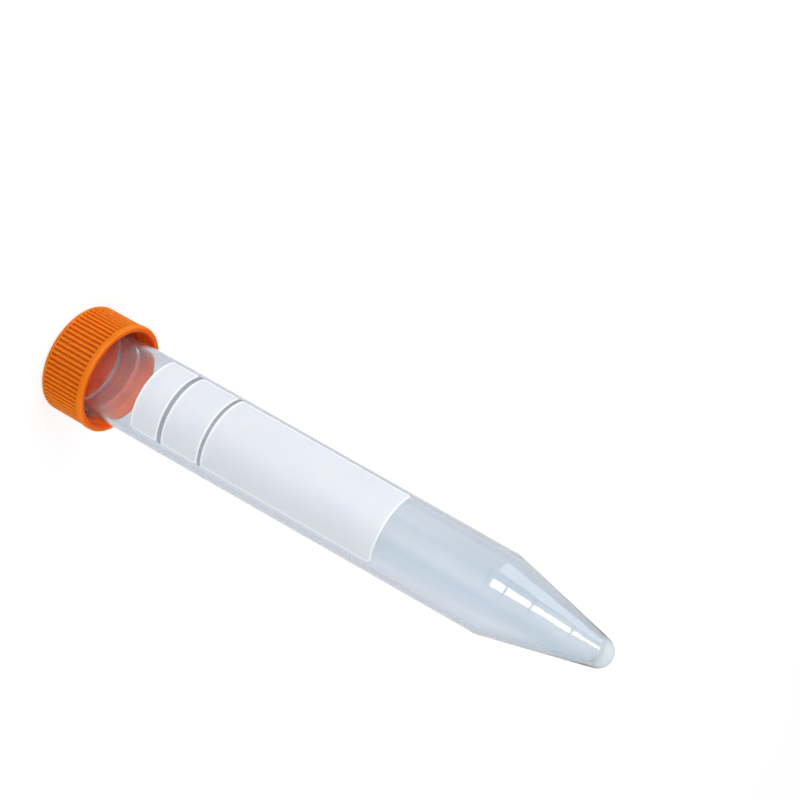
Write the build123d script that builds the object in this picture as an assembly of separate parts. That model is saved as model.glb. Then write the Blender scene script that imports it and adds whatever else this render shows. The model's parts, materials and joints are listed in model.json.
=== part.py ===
from build123d import *
import math
import os

# ---------------------------------------------------------------- driving dimensions (mm)
overall_length = 120.0      # closed end of the cap to the tip of the tube

# tube
body_diameter = 17.0        # straight band under the cap, which a rack's hole surrounds
band_length = 14.0
shoulder_diameter = 15.8    # end of the drafted wall, where the cone begins
shoulder_round = 4.0        # soft corner between wall and cone
body_wall = 0.9
cone_length = 23.0          # shoulder to the outside of the tip
cone_wall = 1.0             # measured square to the axis
tip_radius = 2.95
tip_thickness = 2.0         # solid plastic at the tip

# screw neck
neck_step = 0.2             # the neck is this much smaller in radius than the band
mouth_round = 0.2
thread_height = 1.1
thread_base = 1.4           # width of the ridge at the neck's wall
thread_crest = 0.5          # width of the ridge at its crest
thread_root = 0.4           # the ridge's section reaches this far into the neck's wall
thread_pitch = 2.5
thread_turns = 1.75
thread_start = 1.2          # mouth to the middle of the ridge's first turn

# moulded volume lines on the cone
line_volumes = [100.0, 500.0, 1000.0, 1500.0]   # mm3, so 0.1, 0.5, 1 and 1.5 ml
line_height = 0.2
line_width = 0.5            # at the wall
line_crest = 0.2            # width on top
line_root = 0.3             # the line's section reaches this far into the wall
line_angle = 33.0           # degrees round the tube

# screw cap
cap_end_thickness = 1.5     # closed end
cap_edge_radius = 0.9       # round edge between closed end and skirt
cap_corner_radius = 0.45    # round corner between bore and closed end
skirt_wall = 0.7            # bore to the bottom of the grooves
rib_count = 70
rib_depth = 0.4
rib_crest = 0.44            # width of a crest and of a groove's bottom, as shares of the rib pitch
rib_groove = 0.28
rib_start = 1.0             # closed end to the start of the ribs
rim_proud = 0.15            # smooth ring round the open end, past the rib crests
rim_height = 1.1
rim_edge_radius = 0.35
seal_ring_height = 1.7      # ring inside the closed end that the mouth presses on
seal_ring_overlap = 0.5     # how far the seal ring reaches past the mouth on both sides
seal_ring_round = 0.2

# clearances between cap and tube
thread_clearance = 0.6      # ridge crest to the bore of the cap
rim_cover = 0.925           # end of the ridge to the open rim of the cap
band_gap = 0.6              # open rim of the cap to the start of the band

# ---------------------------------------------------------------- working values
near = 0.01                 # two places this close are taken as the same
level_step = 0.02           # height of the slices that a volume is summed from

# ---------------------------------------------------------------- sizes that follow
body_r = body_diameter / 2
shoulder_r = shoulder_diameter / 2
neck_r = body_r - neck_step
bore_r = body_r - body_wall
thread_r = neck_r + thread_height
cap_bore_r = thread_r + thread_clearance
groove_r = cap_bore_r + skirt_wall
skirt_r = groove_r + rib_depth
rim_r = skirt_r + rim_proud

seat_z = cap_end_thickness + seal_ring_height       # the mouth of the tube rests here
thread_z = seat_z + thread_start                    # middle of the ridge's first turn
cap_height = thread_z + thread_turns * thread_pitch + thread_base / 2 + rim_cover
rim_z = cap_height - rim_height
band_start = cap_height + band_gap
band_end = band_start + band_length
shoulder_z = overall_length - cone_length
tip_centre_z = overall_length - tip_radius
floor_z = overall_length - tip_thickness            # inside of the tip


def cone_tangent(r0, z0, r1, zc):
    """Half angle of the cone from the circle r0 at z0 to a ball of radius r1 centred at zc."""
    reach = math.hypot(r0, zc - z0)
    return math.acos(r1 / reach) - math.atan2(zc - z0, r0)


def inner_tip():
    """Radius and centre height of the round end of the hollow: tangent to the inner cone."""
    slope = cone_tangent(shoulder_r, shoulder_z, tip_radius, tip_centre_z)
    inner_r0 = shoulder_r - cone_wall
    # a ball that ends at floor_z and touches the line inner_r0 - (z - shoulder_z) * tan(slope)
    span = floor_z - shoulder_z
    r = (inner_r0 * math.cos(slope) - span * math.sin(slope)) / (1 - math.sin(slope))
    return r, floor_z - r, slope


def tube_profile():
    """Closed half outline of the tube's wall on the XZ plane, thread and lines left out."""
    slope = cone_tangent(shoulder_r, shoulder_z, tip_radius, tip_centre_z)
    in_r, in_z, _ = inner_tip()
    out_touch = (tip_radius * math.cos(slope), tip_centre_z + tip_radius * math.sin(slope))
    in_touch = (in_r * math.cos(slope), in_z + in_r * math.sin(slope))
    half = (math.pi / 2 + slope) / 2
    out_mid = (tip_radius * math.cos(half), tip_centre_z + tip_radius * math.sin(half))
    in_mid = (in_r * math.cos(half), in_z + in_r * math.sin(half))
    m = mouth_round
    q = m * (1 - math.sqrt(0.5))

    def p(r, z):
        return (r, 0, z)

    edges = [
        Line(p(bore_r + m, seat_z), p(neck_r - m, seat_z)),
        ThreePointArc(p(neck_r - m, seat_z), p(neck_r - q, seat_z + q), p(neck_r, seat_z + m)),
        Line(p(neck_r, seat_z + m), p(neck_r, band_start - neck_step)),
        Line(p(neck_r, band_start - neck_step), p(body_r, band_start)),
        Line(p(body_r, band_start), p(body_r, band_end)),
        Line(p(body_r, band_end), p(shoulder_r, shoulder_z)),
        Line(p(shoulder_r, shoulder_z), p(*out_touch)),
        ThreePointArc(p(*out_touch), p(*out_mid), p(0, overall_length)),
        Line(p(0, overall_length), p(0, in_z + in_r)),
        ThreePointArc(p(0, in_z + in_r), p(*in_mid), p(*in_touch)),
        Line(p(*in_touch), p(shoulder_r - cone_wall, shoulder_z)),
        Line(p(shoulder_r - cone_wall, shoulder_z), p(bore_r, band_end)),
        Line(p(bore_r, band_end), p(bore_r, seat_z + m)),
        ThreePointArc(p(bore_r, seat_z + m), p(bore_r + q, seat_z + q), p(bore_r + m, seat_z)),
    ]
    return make_face(edges)


# ---------------------------------------------------------------- tube
def hollow_radius(z):
    """Radius of the hollow at height z, from the inside of the tip to the straight bore."""
    in_r, in_z, slope = inner_tip()
    if z >= in_z + in_r:
        return 0.0
    if z > in_z + in_r * math.sin(slope):
        return math.sqrt(max(in_r**2 - (z - in_z) ** 2, 0.0))
    inner_shoulder = shoulder_r - cone_wall
    if z > shoulder_z:
        return inner_shoulder - (z - shoulder_z) * math.tan(slope)
    rise = (shoulder_z - z) / (shoulder_z - band_end)
    return inner_shoulder + (bore_r - inner_shoulder) * min(rise, 1.0)


def level_of(volume):
    """Height of the liquid's surface when the tube stands on its tip and holds this volume."""
    z, held = floor_z, 0.0
    while held < volume:
        z -= level_step
        held += math.pi * hollow_radius(z + level_step / 2) ** 2 * level_step
    return z


def outer_radius(z):
    """Radius of the outside at height z between the band and the tip's round end."""
    if z <= shoulder_z:
        rise = (shoulder_z - z) / (shoulder_z - band_end)
        return shoulder_r + (body_r - shoulder_r) * rise
    slope = cone_tangent(shoulder_r, shoulder_z, tip_radius, tip_centre_z)
    return shoulder_r - (z - shoulder_z) * math.tan(slope)


def volume_line(z):
    """Raised line round part of the outside at height z."""
    half = line_width / 2
    low, high = outer_radius(z - half), outer_radius(z + half)
    top = outer_radius(z) + line_height
    face = make_face(
        Polyline(
            (low - line_root, 0, z - half),
            (low, 0, z - half),
            (top, 0, z - line_crest / 2),
            (top, 0, z + line_crest / 2),
            (high, 0, z + half),
            (high - line_root, 0, z + half),
            close=True,
        )
    )
    return revolve(face, Axis.Z, line_angle).rotate(Axis.Z, -line_angle / 2)


def thread_ridge():
    """Helical ridge round the neck. Both ends run out where a flat just touches the neck."""
    flare = thread_root * (thread_base - thread_crest) / 2 / thread_height
    root = thread_base / 2 + flare
    section = make_face(
        Polyline(
            (neck_r - thread_root, 0, -root),
            (thread_r, 0, -thread_crest / 2),
            (thread_r, 0, thread_crest / 2),
            (neck_r - thread_root, 0, root),
            close=True,
        )
    )
    path = Helix(pitch=thread_pitch, height=thread_pitch * thread_turns, radius=neck_r)
    ridge = sweep(section, path=path, is_frenet=True)
    for turn in (0, thread_turns):
        flat = Pos(thread_r, 0, thread_pitch * turn) * Box(2 * thread_height, 2 * neck_r, thread_pitch)
        ridge -= flat.rotate(Axis.Z, 360 * turn)
    return Pos(0, 0, thread_z) * ridge


def make_tube():
    wall = revolve(tube_profile(), Axis.Z, 360)
    corners = wall.edges().filter_by(
        lambda e: e.geom_type == GeomType.CIRCLE and abs(e.center().Z - shoulder_z) < near
    )
    wall = fillet(corners, shoulder_round)
    wall += thread_ridge()
    for volume in line_volumes:
        wall += volume_line(level_of(volume))
    return wall


# ---------------------------------------------------------------- cap
def rib_outline():
    """Toothed outline of the skirt: one flat crest and one groove for each rib."""
    pitch = 2 * math.pi / rib_count
    crest, groove = rib_crest / 2, rib_groove / 2
    corners = ((skirt_r, -crest), (skirt_r, crest), (groove_r, 0.5 - groove), (groove_r, 0.5 + groove))
    points = []
    for i in range(rib_count):
        for radius, share in corners:
            angle = (i + share) * pitch
            points.append((radius * math.cos(angle), radius * math.sin(angle)))
    return make_face(Polyline(*points, close=True))


def cap_shell():
    """Smooth skirt, closed end, rim ring and seal ring, turned from one half outline."""
    seal_in, seal_out = bore_r - seal_ring_overlap, neck_r + seal_ring_overlap
    outline = Polyline(
        (0, 0, 0),
        (skirt_r, 0, 0),
        (skirt_r, 0, rim_z),
        (rim_r, 0, rim_z),
        (rim_r, 0, cap_height),
        (cap_bore_r, 0, cap_height),
        (cap_bore_r, 0, cap_end_thickness),
        (seal_out, 0, cap_end_thickness),
        (seal_out, 0, seat_z),
        (seal_in, 0, seat_z),
        (seal_in, 0, cap_end_thickness),
        (0, 0, cap_end_thickness),
        close=True,
    )
    return revolve(make_face(outline), Axis.Z, 360)


def round_edge(shape, radius, height, amount):
    """Round the circular edge of this radius at this height."""
    found = shape.edges().filter_by(
        lambda e: e.geom_type == GeomType.CIRCLE
        and abs(e.radius - radius) < near
        and abs(e.center().Z - height) < near
    )
    return fillet(found, amount)


def make_cap():
    cap = cap_shell()
    cap = round_edge(cap, skirt_r, 0, cap_edge_radius)
    cap = round_edge(cap, rim_r, cap_height, rim_edge_radius)
    cap = round_edge(cap, cap_bore_r, cap_height, rim_edge_radius)
    cap = round_edge(cap, cap_bore_r, cap_end_thickness, cap_corner_radius)
    cap = round_edge(cap, bore_r - seal_ring_overlap, seat_z, seal_ring_round)
    cap = round_edge(cap, neck_r + seal_ring_overlap, seat_z, seal_ring_round)
    grooves = extrude(Circle(rim_r) - rib_outline(), rim_z - rib_start)
    return cap - Pos(0, 0, rib_start) * grooves


os.makedirs("parts", exist_ok=True)
export_step(make_cap(), "parts/cap.step")
export_step(make_tube(), "parts/tube.step")
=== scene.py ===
import json
import math

import bmesh
import bpy
from mathutils import Euler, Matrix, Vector


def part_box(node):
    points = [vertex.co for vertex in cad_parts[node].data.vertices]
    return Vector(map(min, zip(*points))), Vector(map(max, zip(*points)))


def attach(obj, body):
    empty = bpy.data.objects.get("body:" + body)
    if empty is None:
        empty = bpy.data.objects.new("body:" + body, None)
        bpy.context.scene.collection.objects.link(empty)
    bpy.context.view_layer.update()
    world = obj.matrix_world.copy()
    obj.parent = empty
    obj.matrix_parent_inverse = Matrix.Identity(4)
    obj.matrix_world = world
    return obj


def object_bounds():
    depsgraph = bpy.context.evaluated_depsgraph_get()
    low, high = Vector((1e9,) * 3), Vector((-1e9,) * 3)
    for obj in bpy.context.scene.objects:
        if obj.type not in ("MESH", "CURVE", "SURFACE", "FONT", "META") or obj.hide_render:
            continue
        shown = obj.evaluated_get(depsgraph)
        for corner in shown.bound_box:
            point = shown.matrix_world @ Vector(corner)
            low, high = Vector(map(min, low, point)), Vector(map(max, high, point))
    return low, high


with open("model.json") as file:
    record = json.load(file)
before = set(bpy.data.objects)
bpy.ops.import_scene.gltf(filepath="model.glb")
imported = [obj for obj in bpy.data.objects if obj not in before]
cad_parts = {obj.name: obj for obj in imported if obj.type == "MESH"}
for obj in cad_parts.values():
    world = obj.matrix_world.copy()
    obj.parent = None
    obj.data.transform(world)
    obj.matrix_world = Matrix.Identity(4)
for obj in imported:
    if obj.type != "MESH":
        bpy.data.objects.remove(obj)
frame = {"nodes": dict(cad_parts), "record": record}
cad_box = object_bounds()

# ---------------------------------------------------------------- screw cap
# The cap is one injection moulding in opaque orange polyethylene, with fine upright ribs round
# its skirt and a smooth ring round its open end. It stands on its closed end and holds the tube.
mm = 0.001
cap = frame["nodes"]["cap"]
cap_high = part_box("cap")[1]
rim_radius = cap_high.x
# The grooves between the ribs and the bore get painted shade; these radii and heights say where it
# lies.
groove_radius = rim_radius - 0.5 * mm  # just past the bottom of the grooves
crest_radius = rim_radius - 0.2 * mm   # just short of the ribs' crests
# The bore's painted shade comes in inside this radius, above the closed end's inner face.
bore_edge = rim_radius - 0.55 * mm     # the bore, with its round mouth, lies inside this radius
bore_fade = 0.3 * mm                   # width in which the bore's tone comes in
end_depth = (0.6 * mm, 1.0 * mm)       # heights in the closed end, between its two faces


def node_maker(tree):
    """A function that adds a node to this tree and sets or links its inputs."""

    def node(kind, inputs=None, **settings):
        made = tree.nodes.new(kind)
        for key, value in settings.items():
            setattr(made, key, value)
        for key, value in (inputs or {}).items():
            if isinstance(value, bpy.types.NodeSocket):
                tree.links.new(value, made.inputs[key])
            else:
                made.inputs[key].default_value = value
        return made

    return node


def new_material(name):
    """An empty node material, and the function that adds nodes to it."""
    made = bpy.data.materials.new(name)
    made.use_nodes = True
    made.node_tree.nodes.clear()
    return made, node_maker(made.node_tree)


def give_material(piece, material):
    """Lay one material over the whole piece."""
    piece.data.materials.clear()
    piece.data.materials.append(material)


def noise(node, place, scale, detail):
    """A cloudy amount from 0 to 1 at this place; a larger scale gives smaller clouds."""
    inputs = {"Vector": place, "Scale": scale, "Detail": detail}
    return node("ShaderNodeTexNoise", inputs).outputs["Fac"]


def ramp(node, value, stops):
    """The colour for this value, from two or more (value, colour) stops."""
    made = node("ShaderNodeValToRGB", {"Fac": value})
    marks = made.color_ramp.elements
    for mark, (position, colour) in ((marks[0], stops[0]), (marks[1], stops[-1])):
        mark.position = position
        mark.color = (*colour, 1)
    for position, colour in stops[1:-1]:
        marks.new(position).color = (*colour, 1)
    return made.outputs["Color"]


def between(node, value, start, end, low=0.0, high=1.0):
    """An amount that runs evenly from low to high while the value goes from start to end."""
    limits = {"From Min": start, "From Max": end, "To Min": low, "To Max": high}
    return node("ShaderNodeMapRange", {"Value": value, **limits}).outputs["Result"]


def blend(node, share, first, second):
    """The first colour where the share is 0 and the second where it is 1."""
    inputs = {"Fac": share, "Color1": first, "Color2": second}
    return node("ShaderNodeMixRGB", inputs).outputs["Color"]


def fine_bump(node, height, strength, distance):
    """The direction of a surface with this fine relief."""
    inputs = {"Height": height, "Strength": strength, "Distance": distance}
    return node("ShaderNodeBump", inputs).outputs["Normal"]


def orange_polyethylene():
    """Satin orange plastic: faint flow clouds and a fine moulded grain, with painted shade that
    darkens the grooves and reddens the bore.
    """
    made, node = new_material("orange_polyethylene")
    place = node("ShaderNodeTexCoord").outputs["Object"]
    flat = node("ShaderNodeMapping", {"Vector": place, "Scale": (1.0, 1.0, 0.0)})
    radius = node("ShaderNodeVectorMath", {0: flat.outputs["Vector"]}, operation="LENGTH")
    radius = radius.outputs["Value"]
    height = node("ShaderNodeSeparateXYZ", {"Vector": place}).outputs["Z"]

    dull, bright = (0.86, 0.208, 0.003), (0.92, 0.236, 0.005)
    clouds = noise(node, place, scale=260.0, detail=3.0)
    skin = ramp(node, clouds, [(0.35, dull), (0.65, bright)])
    # Painted shade: the grooves between the ribs take a darker orange, which fades out towards the
    # crests.
    crest = between(node, radius, groove_radius, crest_radius)
    painted_groove_shade = (0.72, 0.135, 0.001, 1)
    skin = blend(node, crest, painted_groove_shade, skin)

    # Painted shade: inside the cap, above the closed end's inner face, the orange is redder and
    # darker.
    within = between(node, radius, bore_edge, bore_edge - bore_fade)
    above = between(node, height, *end_depth)
    bore_shade_share = node("ShaderNodeMath", {0: within, 1: above}, operation="MULTIPLY")
    painted_bore_shade = (0.88, 0.10, 0.003, 1)
    tone = blend(node, bore_shade_share.outputs["Value"], skin, painted_bore_shade)

    grain = noise(node, place, scale=5200.0, detail=2.0)
    body = node(
        "ShaderNodeBsdfPrincipled",
        {
            "Base Color": tone,
            "Roughness": between(node, grain, 0.3, 0.7, low=0.5, high=0.62),
            "IOR": 1.5,
            "Specular IOR Level": 0.12,
            "Subsurface Weight": 0.8,
            "Subsurface Radius": (1.0, 0.15, 0.03),
            "Subsurface Scale": 1.8 * mm,
            "Normal": fine_bump(node, grain, strength=0.12, distance=0.04 * mm),
        },
    )
    node("ShaderNodeOutputMaterial", {"Surface": body.outputs["BSDF"]})
    return made


orange = orange_polyethylene()
give_material(cap, orange)

# ---------------------------------------------------------------- thread inside the cap
# A shallow ridge winds up the cap's bore, in the same moulding and plastic as the cap. Its crest
# stays just clear of the neck's ridge, so that the tube can be drawn straight out.
tube_low, tube_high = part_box("tube")
mouth = tube_low.z
cap_bore = rim_radius - 1.25 * mm
thread_pitch = 2.5 * mm
thread_turns = 1.55
thread_start = mouth + 1.9 * mm        # height of the ridge's middle where it begins
ridge_reach = 0.55 * mm                # how far the crest stands in from the bore
ridge_root = 0.62 * mm                 # half widths at the bore and at the crest
ridge_crest = 0.2 * mm
ridge_sunk = 0.25 * mm                 # how deep the ridge's back lies in the cap's wall
ridge_steps = 180                      # sections along the ridge
run_out = 0.12                         # share of the length over which each end dies away
end_reach = 0.02                       # share of the reach that is left at the very end


def mesh_piece(name, points, faces, smooth=True):
    """A new object from points and faces, in metres in the row frame."""
    mesh = bpy.data.meshes.new(name)
    mesh.from_pydata(points, [], faces)
    mesh.validate()
    made = bpy.data.objects.new(name, mesh)
    bpy.context.scene.collection.objects.link(made)
    shape = bmesh.new()
    shape.from_mesh(mesh)
    bmesh.ops.recalc_face_normals(shape, faces=shape.faces)
    shape.to_mesh(mesh)
    shape.free()
    for face in mesh.polygons:
        face.use_smooth = smooth
    return made


def cap_ridge():
    """The helical ridge: a closed section carried round, run down to nothing at both ends."""
    # each corner of the section: depth in the wall, share of the reach, height from the middle
    section = [
        (ridge_sunk, 0, ridge_root),
        (0, 0, ridge_root),
        (0, 1, ridge_crest),
        (0, 1, -ridge_crest),
        (0, 0, -ridge_root),
        (ridge_sunk, 0, -ridge_root),
    ]
    points, faces = [], []
    for i in range(ridge_steps + 1):
        share = i / ridge_steps
        turn = 2 * math.pi * thread_turns * share
        middle = thread_start + thread_pitch * thread_turns * share
        rise = min(1.0, share / run_out, (1 - share) / run_out)
        reach = ridge_reach * (end_reach + (1 - end_reach) * rise * rise * (3 - 2 * rise))
        for sunk, crest, above in section:
            radius = cap_bore + sunk - crest * reach
            points.append((radius * math.cos(turn), radius * math.sin(turn), middle + above))
    corners = len(section)
    for i in range(ridge_steps):
        for j in range(corners):
            a, b = i * corners + j, i * corners + (j + 1) % corners
            faces.append((a, b, b + corners, a + corners))
    for end in (0, ridge_steps):
        faces.append(tuple(end * corners + j for j in range(corners)))
    return mesh_piece("cap_thread", points, faces, smooth=False)


cap_thread = cap_ridge()
give_material(cap_thread, orange)
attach(cap_thread, "cap_body")

# ---------------------------------------------------------------- tube
# The tube is one injection moulding in clear plastic: screw neck, drafted wall, cone and solid
# round tip, with short raised volume lines on the cone. Its mouth presses on the cap's seal ring.
tube = frame["nodes"]["tube"]
rim, tip = cap_high.z, tube_high.z     # heights of the cap's open rim and of the tube's tip


def clear_plastic():
    """Clear, faintly blue plastic, which lamps shine through, with lengthwise streaks of lighter
    and darker tint painted in as a reflection of bands of light.

    The neck has no tint, the mouth's edge is frosted, and the thick tip is milky.
    """
    made, node = new_material("clear_moulded_plastic")
    place = node("ShaderNodeTexCoord").outputs["Object"]
    height = node("ShaderNodeSeparateXYZ", {"Vector": place}).outputs["Z"]
    along = node("ShaderNodeMath", {0: height, 1: tip}, operation="DIVIDE").outputs["Value"]

    def by_height(stops):
        """An amount that runs between these (height, amount) stops along the tube."""
        return ramp(node, along, [(z / tip, (amount, amount, amount)) for z, amount in stops])

    # Painted reflection: lengthwise streaks of lighter and darker tint stand in for reflected
    # bands of light; the faint blue is the plastic's own.
    stretch = node("ShaderNodeMapping", {"Vector": place, "Scale": (1.0, 1.0, 0.06)})
    painted_streaks = noise(node, stretch.outputs["Vector"], scale=210.0, detail=1.0)
    tint_and_painted_streaks = ramp(node, painted_streaks, [(0.4, (0.853, 0.909, 0.948)), (0.6, (0.972, 0.99, 1.0))])
    neck_tone = (1.0, 0.99, 0.99, 1)
    past_rim = by_height([(rim + 0.4 * mm, 0.0), (rim + 0.8 * mm, 1.0)])

    frosted_mouth = [(mouth + 0.35 * mm, 0.9), (mouth + 0.65 * mm, 0.02)]
    neck_end = [(rim - 0.3 * mm, 0.02), (rim + 0.2 * mm, 0.0)]
    milky_tip = [(tip - 3.3 * mm, 0.0), (tip - 1.1 * mm, 0.9)]
    haze = by_height(frosted_mouth + neck_end + milky_tip)
    wall = node(
        "ShaderNodeBsdfPrincipled",
        {
            "Base Color": blend(node, past_rim, neck_tone, tint_and_painted_streaks),
            "Roughness": between(node, haze, 0.0, 1.0, low=0.01, high=0.3),
            "IOR": 1.3,
            "Transmission Weight": between(node, haze, 0.0, 1.0, low=0.97, high=0.3),
        },
    )
    to_lamp = node("ShaderNodeLightPath").outputs["Is Shadow Ray"]
    through = node("ShaderNodeBsdfTransparent", {"Color": (0.94, 0.95, 0.96, 1)})
    mix = node(
        "ShaderNodeMixShader",
        {0: to_lamp, 1: wall.outputs["BSDF"], 2: through.outputs["BSDF"]},
    )
    depth = node("ShaderNodeVolumeAbsorption", {"Color": (0.47, 0.515, 0.61, 1), "Density": 320.0})
    node(
        "ShaderNodeOutputMaterial",
        {"Surface": mix.outputs["Shader"], "Volume": depth.outputs["Volume"]},
    )
    return made


give_material(tube, clear_plastic())

# ---------------------------------------------------------------- printed fields
# Three fields of white writing ink are screen printed on the side of the tube. The ink lies in a
# thin even coat with a slightly thicker, whiter bead where the screen's edge held it back.
mounts = {mount["name"]: mount for mount in frame["record"]["mounts"]}
band = mounts["rack_hole"]             # the straight band of wall next to the cap
band_radius = band["dims"]["r_mm"] * mm
band_top = band["pos_m"][2] + band["dims"]["length_mm"] * mm / 2
cone_start = tip - 23.0 * mm           # where the wall ends and the cone begins
cone_radius = 7.9 * mm                 # the wall's outside radius there
fields = {                             # heights of each field's lower and upper edge
    "field_top": (20.4 * mm, 26.85 * mm),
    "field_middle": (27.85 * mm, 36.4 * mm),
    "field_large": (37.2 * mm, 75.5 * mm),
}
field_half = math.radians(59.5)        # each field reaches this far round from the front
field_corner = 0.8 * mm
coat_lift = 0.012 * mm                  # the coat's back stands just clear of the wall
coat_top = coat_lift + 0.03 * mm
bead_top = coat_lift + 0.06 * mm
bead = [                               # (distance in from the edge, height over the wall)
    (0.0, coat_lift),
    (0.02 * mm, 0.7 * bead_top),
    (0.08 * mm, bead_top),
    (0.32 * mm, bead_top),
    (0.42 * mm, coat_top),
    (0.50 * mm, coat_top),
]
arc_steps, side_steps = 6, 30          # steps along a round corner and along an edge


def wall_radius(height):
    """Outside radius of the tube's wall, straight in the band and drafted past it."""
    rise = min(max((height - band_top) / (cone_start - band_top), 0.0), 1.0)
    return band_radius + (cone_radius - band_radius) * rise


def field_edge(low, high, corner, inset):
    """Upper and lower edge of a field as (distance round the wall, height), moved in by inset."""
    half = field_half * wall_radius((low + high) / 2)
    reach = corner - inset
    upper = []
    for i in range(arc_steps):
        a = math.radians(180 - 90 * i / arc_steps)
        upper.append((corner - half + reach * math.cos(a), high - corner + reach * math.sin(a)))
    for i in range(side_steps + 1):
        upper.append(((half - corner) * (2 * i / side_steps - 1), high - inset))
    upper += [(-u, z) for u, z in reversed(upper[:arc_steps])]
    lower = [(u, low + high - z) for u, z in upper]
    return upper, lower


def on_wall(along, height, middle, lift):
    """The point this far round the wall from the front, at this height and lift."""
    angle = along / wall_radius(middle)
    r = wall_radius(height) + lift
    return (r * math.cos(angle), r * math.sin(angle), height)


def ink_and_shadow_coat(name, low, high, corner, rings, coat_materials):
    """A closed thin coat on the wall, for the ink fields and for the painted shadow lines: its
    edge as rings, the middle as upright strips.

    The middle takes the first material, and the raised edge takes the last one.
    """
    points, faces, kinds = [], [], []
    for inset, lift in rings:
        upper, lower = field_edge(low, high, corner, inset)
        points += [on_wall(u, z, (low + high) / 2, lift) for u, z in upper + lower[::-1]]
    count = len(points) // len(rings)
    inmost = len(rings) - 1
    for k in range(inmost):
        for i in range(count):
            a, b = k * count + i, k * count + (i + 1) % count
            faces.append((a, b, b + count, a + count))
            kinds.append(0 if k == inmost - 1 else len(coat_materials) - 1)
    for start in (0, inmost * count):
        for i in range(count // 2 - 1):
            j = count - 1 - i
            faces.append((start + i, start + i + 1, start + j - 1, start + j))
            kinds.append(0)
    made = mesh_piece(name, points, faces)
    for one in coat_materials:
        made.data.materials.append(one)
    for face, kind in zip(made.data.polygons, kinds):
        face.material_index = kind
    return made


def matt_ink_and_shadow(name, dull, clean, roughness, cover=1.0, glow=0.0):
    """Matt ink, also used for the painted shadow lines, cloudy between two tones; glow is the
    share of light that soaks through it.
    """
    made, node = new_material(name)
    place = node("ShaderNodeTexCoord").outputs["Object"]
    clouds = noise(node, place, scale=140.0, detail=2.0)
    grain = noise(node, place, scale=9000.0, detail=2.0)
    coat = node(
        "ShaderNodeBsdfPrincipled",
        {
            "Base Color": ramp(node, clouds, [(0.3, dull), (0.7, clean)]),
            "Roughness": roughness,
            "Alpha": cover,
            "Subsurface Weight": glow,
            "Subsurface Radius": (1.0, 0.95, 0.7),
            "Subsurface Scale": 0.06 * mm,
            "Normal": fine_bump(node, grain, strength=0.1, distance=0.02 * mm),
        },
    )
    node("ShaderNodeOutputMaterial", {"Surface": coat.outputs["BSDF"]})
    return made


ink = matt_ink_and_shadow(
    "white_ink", (0.81, 0.845, 0.935), (0.84, 0.87, 0.955), roughness=0.55, glow=1.0
)
ink_edge = matt_ink_and_shadow("white_ink_edge", (0.945, 0.967, 1.0), (0.965, 0.982, 1.0), roughness=0.5)
for name, (low, high) in fields.items():
    field = ink_and_shadow_coat(name, low, high, field_corner, bead, [ink, ink_edge])
    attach(field, "tube_body")

# ---------------------------------------------------------------- painted shadow lines between the fields
# A thin, half clear grey sheet fills each gap between two fields and sets them apart: a painted
# shadow, standing for the shade seen through the bare wall there. It lies on the wall as the
# fields do, with no bead.
line_margin = 0.08 * mm                # bare wall left between a line and the fields
line_edge = [(0.0, coat_lift), (0.03 * mm, coat_top)]
# Painted shadow: a see-through grey sheet laid in each gap between the fields.
painted_gap_shadow = matt_ink_and_shadow(
    "painted_gap_shadow", (0.22, 0.22, 0.3), (0.26, 0.26, 0.34), roughness=0.6, cover=0.34
)
gaps = {"gap_shadow_top": ("field_top", "field_middle"), "gap_shadow_middle": ("field_middle", "field_large")}
for name, (below, above) in gaps.items():
    low, high = fields[below][1] + line_margin, fields[above][0] - line_margin
    corner = (high - low) / 3
    shadow_line = ink_and_shadow_coat(name, low, high, corner, line_edge, [painted_gap_shadow])
    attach(shadow_line, "tube_body")

# ---------------------------------------------------------------- floor
# A plain white painted floor, wide enough to reach past every view.
# It takes the object's soft shadow, and isn't part of the object.
floor_half = 4.0
floor_z = cad_box[0].z
sides = ((-1, -1), (1, -1), (1, 1), (-1, 1))
corners = [(x * floor_half, y * floor_half, floor_z) for x, y in sides]
floor = mesh_piece("floor", corners, [(0, 1, 2, 3)], smooth=False)


def larger(node, first, second):
    """The larger of two amounts."""
    return node("ShaderNodeMath", {0: first, 1: second}, operation="MAXIMUM").outputs["Value"]


def looked_at(node):
    """1 for a ray that looks at a thing, straight, in gloss or through clear plastic."""
    path = node("ShaderNodeLightPath").outputs
    seen = larger(node, path["Is Camera Ray"], path["Is Glossy Ray"])
    return larger(node, seen, path["Is Transmission Ray"])


def floor_paint():
    """White floor: rays that look at it meet plain white, less the object's soft shadow."""
    made, node = new_material("floor_paint")
    plain = node("ShaderNodeBsdfDiffuse", {"Color": (0.8, 0.8, 0.8, 1)})
    shade = node("ShaderNodeBsdfDiffuse", {"Color": (0.3, 0.3, 0.3, 1)})
    glow = node("ShaderNodeEmission", {"Color": (1, 1, 1, 1), "Strength": 0.76})
    both = node("ShaderNodeAddShader", {0: shade.outputs["BSDF"], 1: glow.outputs["Emission"]})
    mix = node(
        "ShaderNodeMixShader",
        {0: looked_at(node), 1: plain.outputs["BSDF"], 2: both.outputs["Shader"]},
    )
    node("ShaderNodeOutputMaterial", {"Surface": mix.outputs["Shader"]})
    return made


give_material(floor, floor_paint())

# ---------------------------------------------------------------- light
# A bright even room, a large soft box in front and a weaker one beside it. Two more boxes are
# only seen in gloss: they draw the white streak and the pale band along the cone.
scene = bpy.context.scene
middle = (cad_box[0] + cad_box[1]) / 2


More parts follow.
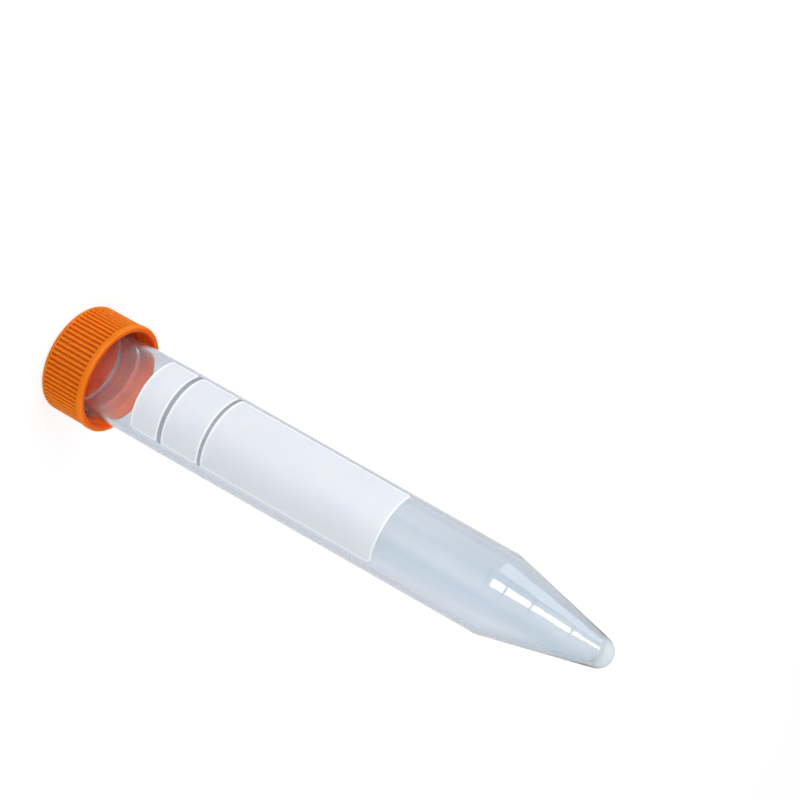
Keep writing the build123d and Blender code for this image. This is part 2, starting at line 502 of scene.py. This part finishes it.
def even_room():
    """A room whose walls light evenly, and look plain white."""
    made = bpy.data.worlds.new("room")
    made.use_nodes = True
    made.node_tree.nodes.clear()
    node = node_maker(made.node_tree)
    light = node("ShaderNodeBackground", {"Color": (1, 1, 1, 1), "Strength": 0.74})
    white = node("ShaderNodeBackground", {"Color": (1, 1, 1, 1), "Strength": 1.0})
    mix = node(
        "ShaderNodeMixShader",
        {0: looked_at(node), 1: light.outputs["Background"], 2: white.outputs["Background"]},
    )
    node("ShaderNodeOutputWorld", {"Surface": mix.outputs["Shader"]})
    return made


def soft_box(name, azimuth, elevation, distance, width, height, radiance):
    """A rectangular lamp of even brightness, turned to the middle of the object.

    Angles are in degrees and lengths in metres. A radiance of 1 is as bright as plain white.
    """
    a, e = math.radians(azimuth), math.radians(elevation)
    way = Vector((math.cos(e) * math.cos(a), math.cos(e) * math.sin(a), math.sin(e)))
    lamp = bpy.data.lights.new(name, "AREA")
    lamp.shape = "RECTANGLE"
    lamp.size, lamp.size_y = width, height
    lamp.energy = radiance * math.pi * width * height
    made = bpy.data.objects.new(name, lamp)
    scene.collection.objects.link(made)
    made.location = middle + way * distance
    made.rotation_mode = "QUATERNION"
    made.rotation_quaternion = way.to_track_quat("Z", "Y")
    made.visible_camera = False
    made.visible_transmission = False
    return made


scene.world = even_room()
soft_box(
    "key_box", azimuth=-50.0, elevation=40.0, distance=1.4, width=0.9, height=0.9, radiance=2.7
)
soft_box(
    "fill_box", azimuth=40.0, elevation=45.0, distance=1.4, width=0.8, height=0.8, radiance=1.0
)
streak_box = soft_box(
    "streak_box",
    azimuth=-10.5,
    elevation=12.5,
    distance=1.5,
    width=0.61,
    height=0.46,
    radiance=36.0,
)
side_box = soft_box(
    "side_box", azimuth=-66.0, elevation=8.0, distance=1.5, width=0.9, height=0.4, radiance=7.0
)
for gloss_box in (streak_box, side_box):
    gloss_box.visible_diffuse = False

# ---------------------------------------------------------------- camera
# A long lens held above the object and rolled, so that the tube points down to the right.
# Light may pass many walls of clear plastic before it reaches the lens.
lens_offset = Vector((0.28296, 0.03725, 0.12105))  # from the middle of the object
lens_turn = (-48.691, -54.737, -113.783)           # degrees about X, Y and Z
lens = bpy.data.cameras.new("camera")
lens.lens = 76.68
lens.sensor_width = 36.0
lens.clip_start = 0.01
lens.clip_end = 20.0
camera = bpy.data.objects.new("camera", lens)
scene.collection.objects.link(camera)
camera.location = middle + lens_offset
camera.rotation_euler = Euler([math.radians(a) for a in lens_turn], "XYZ")
scene.camera = camera
scene.view_settings.view_transform = "Standard"
scene.cycles.max_bounces = 48
scene.cycles.glossy_bounces = 40
scene.cycles.transmission_bounces = 40
scene.cycles.transparent_max_bounces = 24
# gloss throws no light on, so the boxes that are only seen in gloss light nothing
scene.cycles.caustics_reflective = False
